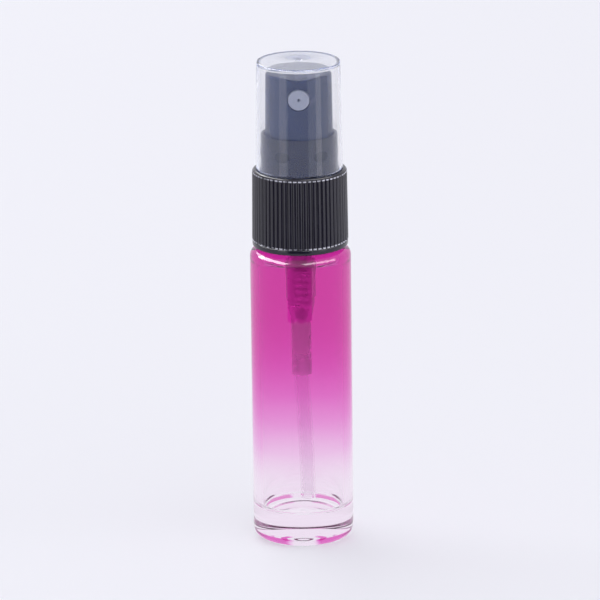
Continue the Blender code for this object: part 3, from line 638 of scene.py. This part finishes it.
def makeHousing():
    p = pump
    low, top, flange = span("pump_housing")
    flangeLow = top - p["flangeThickness"]
    step = flangeLow - p["barrelLength"]
    tailTop = low + p["tailLength"]
    corners = [
        (p["upperBore"], top, 0.1), (flange, top, 0.15), (flange, flangeLow, 0.15),
        (p["barrel"], flangeLow, 0.2), (p["barrel"], step + p["barrelTaper"], 0.6),
        (p["chamberOutside"], step, 0.6), (p["chamberOutside"], tailTop + p["tailTaper"], 1.5),
        (p["tail"], tailTop, 1.5), (p["tail"], low, 0.15), (p["tubeSocket"], low, 0.1),
        (p["tubeSocket"], p["socketTop"], 0), (p["inlet"], p["socketTop"], 0.05),
        (p["inlet"], p["cone"], 0), (p["cageRadius"], p["cage"], 0.1), (p["cageRadius"], p["seat"], 0.05),
        (p["chamber"], p["seat"], 0), (p["chamber"], p["upperBoreLow"], 0.05),
        (p["upperBore"], p["upperBoreLow"], 0),
    ]
    housing = turnedRing("pumpHousing", corners, naturalFinish, perArc=5)
    attach(housing, "sprayer", "natural_plastic", "pump_housing")


chaplet = {"headHeight": 1.3, "plug": 2.8, "hole": 1.77}


def makeChaplet():
    low, top, head = span("chaplet")
    plug, hole = chaplet["plug"], chaplet["hole"]
    headLow = top - chaplet["headHeight"]
    corners = [(hole, top, 0.1), (head, top, 0.3), (head, headLow, 0.1), (plug, headLow, 0.05),
               (plug, low, 0.2), (hole, low, 0.1)]
    attach(turnedRing("chapletRing", corners, whiteFinish), "sprayer", "white_plastic", "chaplet")


stem = {"outer": 1.6, "hole": 0.85, "flangeTop": 69.7, "flangeLow": 69.0}


def makeStem():
    low, top, flange = span("stem")
    outer, hole, flangeTop, flangeLow = stem.values()
    corners = [(hole, top, 0.1), (outer, top, 0.2), (outer, flangeTop, 0.1), (flange, flangeTop, 0.1),
               (flange, flangeLow, 0.1), (outer, flangeLow, 0.1), (outer, low, 0.1), (hole, low, 0.05)]
    shaft = turnedRing("pumpStem", corners, whiteFinish, segments=72)
    attach(shaft, "stem_group", "white_plastic", "stem")


# the plug is pressed into the stem, and the spigot below the foot centres the return spring
valvePin = {"plug": 0.78, "plugLength": 3.7, "shaft": 1.0, "footThickness": 0.9, "spigot": 1.2,
            "spigotLength": 1.3}


def makeValvePin():
    p = valvePin
    low, top, foot = span("valve_pin")
    footLow = low + p["spigotLength"]
    footTop = footLow + p["footThickness"]
    neckTop = top - p["plugLength"]
    corners = [(0, top, 0), (p["plug"], top, 0.25), (p["plug"], neckTop, 0.05), (p["shaft"], neckTop, 0.1),
               (p["shaft"], footTop, 0.1), (foot, footTop, 0.1), (foot, footLow, 0.1),
               (p["spigot"], footLow, 0.05), (p["spigot"], low, 0.2), (0, low, 0)]
    pin = lathe("valvePin", outlineOf(corners, perArc=4), whiteFinish, segments=72)
    attach(pin, "stem_group", "white_plastic", "valve_pin")


piston = {"ledge": 2.9, "slope": 0.3, "waist": 1.75, "lipHeight": 1.1, "pinHole": 1.1, "springHole": 1.7}


def makePiston():
    p = piston
    low, top, lip = span("piston")
    ledge = low + p["ledge"]
    lipTop = low + p["lipHeight"]
    upperLip = ledge - p["slope"]
    corners = [(p["springHole"], top, 0.05), (lip, top, 0.08), (lip, upperLip, 0.05),
               (p["waist"], upperLip - p["slope"], 0.1), (p["waist"], lipTop + p["slope"], 0.1),
               (lip, lipTop, 0.05), (lip, low, 0.08), (p["pinHole"], low, 0.05),
               (p["pinHole"], ledge, 0.05), (p["springHole"], ledge, 0.05)]
    slider = turnedRing("pumpPiston", corners, naturalFinish, segments=72)
    attach(slider, "piston_group", "natural_plastic", "piston")


# joint is the joint that would shorten the spring, stroke by how much at its limit, and still whether its low
# or high end holds; the springs are made at rest, and these are not used
springs = {
    "precompressionSpring": {"node": "precompression_spring", "body": "stem_group", "wire": 0.3,
                             "turns": 5, "joint": "piston_lift", "stroke": 0.5, "still": "high"},
    "returnSpring": {"node": "return_spring", "body": "sprayer", "wire": 0.4, "turns": 7,
                     "joint": "actuator_press", "stroke": 4.2, "still": "low"}}


def makeSpring(name, node, body, wire, turns, joint, stroke, still):
    low, high, radius = span(node)
    half = wire / 2
    spring = coil(name, steelFinish, radius - half, half, low + half, high - half, turns)
    attach(spring, body, "spring_steel", node)
    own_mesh(spring)


def makeBall():
    low, high, radius = span("check_ball")
    shape = bmesh.new()
    bmesh.ops.create_icosphere(shape, subdivisions=5, radius=radius * mm)
    bmesh.ops.translate(shape, vec=(0, 0, (low + high) / 2 * mm), verts=shape.verts)
    mesh = bpy.data.meshes.new("checkBall")
    shape.to_mesh(mesh)
    shape.free()
    ball = newObject("checkBall", mesh, steelFinish)
    shade(ball, 60)
    attach(ball, "ball", "spring_steel", "check_ball")


# straight in the housing, then leaning to +X by bend at its end
tube = {"radius": 1.5, "wall": 0.45, "bend": 1.0, "straightTo": 33.7, "power": 1.3, "steps": 24,
        "roundness": 14}


def makeTube():
    low, top, _ = span("dip_tube")
    points = [(0, top), (0, (top + tube["straightTo"]) / 2)]
    for k in range(tube["steps"] + 1):
        share = k / tube["steps"]
        lean = tube["bend"] * sin(pi / 2 * share) ** tube["power"]
        points.append((lean, tube["straightTo"] + (low - tube["straightTo"]) * share))
    curve = bpy.data.curves.new("dipTube", "CURVE")
    curve.dimensions = "3D"
    curve.bevel_depth = tube["radius"] * mm
    curve.bevel_resolution = tube["roundness"]
    spline = curve.splines.new("POLY")
    spline.points.add(len(points) - 1)
    for point, (x, z) in zip(spline.points, points):
        point.co = (x * mm, 0, z * mm, 1)
    piece = newObject("dipTube", curve)
    wall = piece.modifiers.new("wall", "SOLIDIFY")
    wall.thickness = tube["wall"] * mm
    wall.offset = -1
    mesh = finalMesh(piece)
    bpy.data.objects.remove(piece, do_unlink=True)
    mesh.materials.clear()
    solid = newObject("dipTube", mesh, tubeFinish)
    shade(solid)
    attach(solid, "sprayer", "tube_plastic", "dip_tube")


for name, ring in rings.items():
    makeRing(name, **ring)
makeHousing()
makeChaplet()
makeStem()
makeValvePin()
makePiston()
for name, spring in springs.items():
    makeSpring(name, **spring)
makeBall()
makeTube()
print("pump made")


# grooveWidth is half the groove's width, and the cutters reach past the shell by the last few lengths
button = {"radius": 6.5, "draft": 0.16, "wall": 1.1, "edge": 0.55, "slope": 0.02, "groove": 0.5,
          "grooveWidth": 2.6, "restAboveSkirt": 14.25, "nozzleDrop": 3.72, "restRings": 24,
          "edgeRings": 4, "postRadius": 2.6, "postRecess": 1.5, "postTop": 0.6, "stemSocket": 1.67,
          "socketDepth": 5.0, "pocket": 2.15, "pocketDepth": 2.78, "pocketEase": 0.05,
          "pocketLip": 0.12, "bossWall": 0.5, "bossInset": 0.6, "bossEnd": 1.6, "riser": 0.55,
          "riserFrom": 6, "cross": 0.5, "crossLength": 4, "cutAbove": 4, "cutRadius": 9,
          "cutBelow": 0.5, "cutUnder": 1, "leadIn": 2, "flare": 0.9}


# tilts and grooves what is above high, and less of it down to low
def dished(piece, low, high):
    b = button
    for vertex in piece.data.vertices:
        x, y, z = vertex.co / mm
        weight = min(1.0, max(0.0, (z - low) / (high - low)))
        groove = b["groove"] * (1 - exp(-(x / b["grooveWidth"]) ** 2))
        vertex.co.z += weight * (-b["slope"] * y + groove) * mm


def makeButton():
    b = button
    skirt = span("actuator")[0]
    rest = skirt + b["restAboveSkirt"]
    nozzleHeight = rest - b["nozzleDrop"]
    straight = nozzleHeight - b["pocket"] - b["bossWall"]
    radius, wide = b["radius"], b["radius"] + b["draft"]
    middle = radius + b["draft"] / 2
    ceiling = rest - b["wall"]
    # the rest has enough rings for the groove, up to the rounded edge
    fine = [(radius * k / b["restRings"], rest) for k in range(b["restRings"] - b["edgeRings"])]
    outer = outlineOf([
        (0, rest, 0), (radius, rest, b["edge"]), (middle, straight, 0),
        (wide, skirt, 0.2), (wide - b["wall"], skirt, 0.2), (middle - b["wall"], straight, 0),
        (radius - b["wall"], ceiling, 0.6), (0, ceiling, 0)], 10)
    shell = lathe("actuatorButton", fine + outer[1:], buttonFinish, segments=160)
    dished(shell, straight, rest - b["edge"])
    postTop, postEnd = rest - b["postTop"], skirt + b["postRecess"]
    post = lathe("post", outlineOf([
        (0, postTop, 0), (b["postRadius"], postTop, 0), (b["postRadius"], postEnd, 0.2),
        (0, postEnd, 0)], 6))
    bossRadius, bossEnd = b["pocket"] + b["bossWall"], -radius + b["bossEnd"]
    boss = lathe("boss", [(0, 0), (bossRadius, 0), (bossRadius, bossEnd), (0, bossEnd)])
    faceFront(boss, -radius + b["bossInset"], nozzleHeight)
    combine(post, boss, "UNION")
    above, below = rest + b["cutAbove"], rest - b["cutBelow"]
    top = lathe("top", [(0, above), (b["cutRadius"], above), (b["cutRadius"], below), (0, below)])
    dished(top, straight, below)
    combine(post, top, "DIFFERENCE")
    combine(shell, post, "UNION")
    socketTop = postEnd + b["socketDepth"]
    socketEnd = skirt - b["cutUnder"]
    socket = lathe("socket", [(0, socketTop), (b["stemSocket"], socketTop), (b["stemSocket"], socketEnd),
                              (0, socketEnd)], segments=72)
    combine(shell, socket, "DIFFERENCE")
    riserEnd = skirt + b["riserFrom"]
    riser = lathe("riser", [(0, nozzleHeight), (b["riser"], nozzleHeight), (b["riser"], riserEnd),
                            (0, riserEnd)], segments=48)
    combine(shell, riser, "DIFFERENCE")
    pocket = lathe("pocket", outlineOf([
        (0, b["leadIn"], 0), (b["pocket"] + b["flare"], b["leadIn"], 0),
        (b["pocket"] + b["pocketEase"], -b["pocketLip"], 0), (b["pocket"], -b["pocketDepth"], 0),
        (0, -b["pocketDepth"], 0)], 6))
    faceFront(pocket, -radius, nozzleHeight)
    combine(shell, pocket, "DIFFERENCE")
    cross = lathe("cross", [(0, 0), (b["cross"], 0), (b["cross"], -b["crossLength"]),
                            (0, -b["crossLength"])], segments=48)
    faceFront(cross, -b["crossLength"], nozzleHeight)
    combine(shell, cross, "DIFFERENCE")
    shell.data.materials.clear()
    shell.data.materials.append(buttonFinish)
    shade(shell, 30)
    attach(shell, "button", "actuator_plastic", "actuator")
    return nozzleHeight


# its face has fine turned rings round a small sink with the orifice in it
nozzle = {"radius": 2.05, "length": 2.6, "recess": 0.08, "cavity": 1.25, "face": 0.6, "orifice": 0.18,
          "sink": 0.36, "sinkDepth": 0.3, "ringPitch": 0.36, "ringDepth": 0.035, "pointsPerRing": 6,
          "plainEdge": 0.2, "rim": 0.3}


def makeNozzle(height):
    n = nozzle
    points = [(n["orifice"], -n["sinkDepth"]), (n["sink"], 0)]
    ringed = n["radius"] - n["plainEdge"] - n["sink"]
    for k in range(1, int(ringed / n["ringPitch"] * n["pointsPerRing"])):
        r = n["sink"] + k * n["ringPitch"] / n["pointsPerRing"]
        points.append((r, -n["ringDepth"] * (0.5 - 0.5 * cos(k * pi / (n["pointsPerRing"] / 2)))))
    points += outlineOf([
        (n["radius"] - n["rim"], 0, 0), (n["radius"], 0, 0.15), (n["radius"], -n["length"], 0.1),
        (n["cavity"], -n["length"], 0.1), (n["cavity"], -n["face"], 0.1), (n["orifice"], -n["face"], 0)], 5)
    insert = lathe("nozzleInsert", points, nozzleFinish, segments=128, closed=True)
    faceFront(insert, -(button["radius"] - n["recess"]), height)
    attach(insert, "button", "nozzle_plastic", "nozzle_insert")


makeNozzle(makeButton())
print("actuator made")


cap = {"wall": 0.8, "upperWall": 0.5, "top": 0.6, "draft": 0.4, "edge": 0.25, "fillet": 0.3, "rim": 0.2,
       "gateRadius": 0.6, "gateDepth": 0.12, "gateSlope": 0.1}


def makeCap():
    c = cap
    low, top, radius = span("overcap")
    slim = radius - c["draft"]
    gate = top - c["gateDepth"]
    ceiling = top - c["top"]
    corners = [
        (0, gate, 0), (c["gateRadius"], gate, 0.05), (c["gateRadius"] + c["gateSlope"], top, 0.06),
        (slim, top, c["edge"]), (radius, low, c["rim"]), (radius - c["wall"], low, c["rim"]),
        (slim - c["upperWall"], ceiling, c["fillet"]), (0, ceiling, 0),
    ]
    piece = lathe("overcapShell", outlineOf(corners, perArc=14), capFinish, segments=192)
    attach(piece, "cap", "clear_plastic", "overcap")


makeCap()
print("overcap made")


# metres from here on; fill is the light from all round, and evenness how far the camera sees the floor
# as flat as the backdrop
studio = {"floorSize": 6.0, "backdrop": (0.875, 0.875, 0.932), "evenness": 0.5, "fill": 0.66}
panels = {
    "leftPanel": {"azimuth": -140, "elevation": 34, "width": 1.2, "height": 0.3, "glow": 4.6,
                  "distance": 2.6},
    "rightPanel": {"azimuth": 48, "elevation": 35, "width": 1.4, "height": 0.28, "glow": 2.6},
    "leftGlint": {"azimuth": -80, "elevation": 40, "width": 1.6, "height": 0.45, "glow": 14.0,
                  "onlyGloss": True},
    "rightGlint": {"azimuth": 50, "elevation": 40, "width": 1.5, "height": 0.4, "glow": 6.0,
                   "onlyGloss": True}}


# which rays see the bare background: reflections and refractions, and the camera by the share given
def backgroundShare(graph, byCamera):
    rays = graph.node("ShaderNodeLightPath").socket.node
    camera, glossy, through = [Wire(graph, rays.outputs[key])
                               for key in ("Is Camera Ray", "Is Glossy Ray", "Is Transmission Ray")]
    return (camera * byCamera + glossy + through).atMost(1.0)


def makeFloor():
    mesh = bpy.data.meshes.new("floor")
    shape = bmesh.new()
    bmesh.ops.create_grid(shape, x_segments=1, y_segments=1, size=studio["floorSize"] / 2)
    shape.to_mesh(mesh)
    shape.free()
    material, graph, _ = startMaterial("paleFloor")
    setShader(material, {"Base Color": rgb(*studio["backdrop"]), "Roughness": 0.6, "Specular IOR Level": 0.2})
    glow = graph.node("ShaderNodeEmission", None, {"Color": rgb(*studio["backdrop"]), "Strength": 1.0})
    addShader(material, graph, backgroundShare(graph, studio["evenness"]), glow)
    newObject("floor", mesh, material)


def makeWorld():
    world = bpy.data.worlds.new("studio")
    bpy.context.scene.world = world
    world.use_nodes = True
    graph = Graph(world.node_tree)
    strength = studio["fill"] + backgroundShare(graph, 1.0) * (1 - studio["fill"])
    background = world.node_tree.nodes["Background"]
    background.inputs["Color"].default_value = rgb(*studio["backdrop"])
    graph.tree.links.new(strength.socket, background.inputs["Strength"])


cardTone = (0.02, 0.02, 0.02)
cardHeight = 0.0005
# turns are the azimuths of a card's corners, and near and far its distances from the object
cards = {
    "floorFlag": {"turns": (-30, -10, 10, 24), "near": 0.19, "far": 0.9, "glow": 0.0},
    "leftCard": {"turns": (-54, -44, -34), "near": 0.27, "far": 0.6, "glow": 1.8},
    "rightCard": {"turns": (46, 54, 62), "near": 0.27, "far": 0.6, "glow": 2.4}}


def aroundAxis(azimuth, distance, height):
    return (distance * sin(radians(azimuth)), -distance * cos(radians(azimuth)), height)


# lies just over the floor and only reflections see it: dark as the camera's side is, or lit
def makeCard(name, turns, near, far, glow):
    material, _, _ = startMaterial(name)
    setShader(material, {"Base Color": rgb(*cardTone), "Roughness": 1.0, "Specular IOR Level": 0.0,
                         "Emission Color": rgb(1.0, 1.0, 1.0), "Emission Strength": glow})
    corners = [aroundAxis(turn, near, cardHeight) for turn in turns]
    corners += [aroundAxis(turn, far, cardHeight) for turn in reversed(turns)]
    mesh = bpy.data.meshes.new(name)
    mesh.from_pydata(corners, [], [list(range(len(corners)))])
    card = newObject(name, mesh, material)
    card.visible_camera = card.visible_diffuse = card.visible_transmission = card.visible_shadow = False


# azimuth 0 is the camera's side, width and height are as if it were a metre away, and glow 1 looks white
def lightPanel(name, azimuth, elevation, width, height, glow, distance=1.0, onlyGloss=False):
    light = bpy.data.lights.new(name, "AREA")
    light.shape = "RECTANGLE"
    light.size, light.size_y = width * distance, height * distance
    light.energy = glow * pi * light.size * light.size_y
    lamp = bpy.data.objects.new(name, light)
    lamp.visible_diffuse = not onlyGloss
    lamp.visible_transmission = False
    turn, rise = radians(azimuth), radians(elevation)
    away = Vector((cos(rise) * sin(turn), -cos(rise) * cos(turn), sin(rise)))
    lamp.location = away * distance
    lamp.rotation_euler = away.to_track_quat("Z", "Y").to_euler()
    bpy.context.scene.collection.objects.link(lamp)


# the photograph's viewpoint: about a metre away, looking 16.4 degrees down, with a slight roll
view = {"distance": 1.0, "height": 0.343, "pitch": 0.2863, "yaw": -0.0002, "roll": -0.0118,
        "lens": 315.6, "sensor": 36.0}


def makeCamera():
    v = view
    forward = Vector((sin(v["yaw"]) * cos(v["pitch"]), cos(v["yaw"]) * cos(v["pitch"]), -sin(v["pitch"])))
    right = forward.cross(Vector((0, 0, 1))).normalized()
    up = right.cross(forward)
    rolledRight = right * cos(v["roll"]) + up * sin(v["roll"])
    rolledUp = up * cos(v["roll"]) - right * sin(v["roll"])
    data = bpy.data.cameras.new("camera")
    data.lens = v["lens"]
    data.sensor_width = v["sensor"]
    camera = bpy.data.objects.new("camera", data)
    turn = Matrix((rolledRight, rolledUp, -forward)).transposed().to_4x4()
    camera.matrix_world = Matrix.Translation((0, -v["distance"], v["height"])) @ turn
    bpy.context.scene.collection.objects.link(camera)
    bpy.context.scene.camera = camera


makeFloor()
makeWorld()
for name, card in cards.items():
    makeCard(name, **card)
for name, panel in panels.items():
    lightPanel(name, **panel)
makeCamera()
bpy.context.scene.view_settings.view_transform = "Standard"
# light runs round inside the thick glass, and would stop there as black with the usual limits
cycles = bpy.context.scene.cycles
cycles.max_bounces, cycles.glossy_bounces, cycles.transmission_bounces = 32, 24, 24
print("studio made")
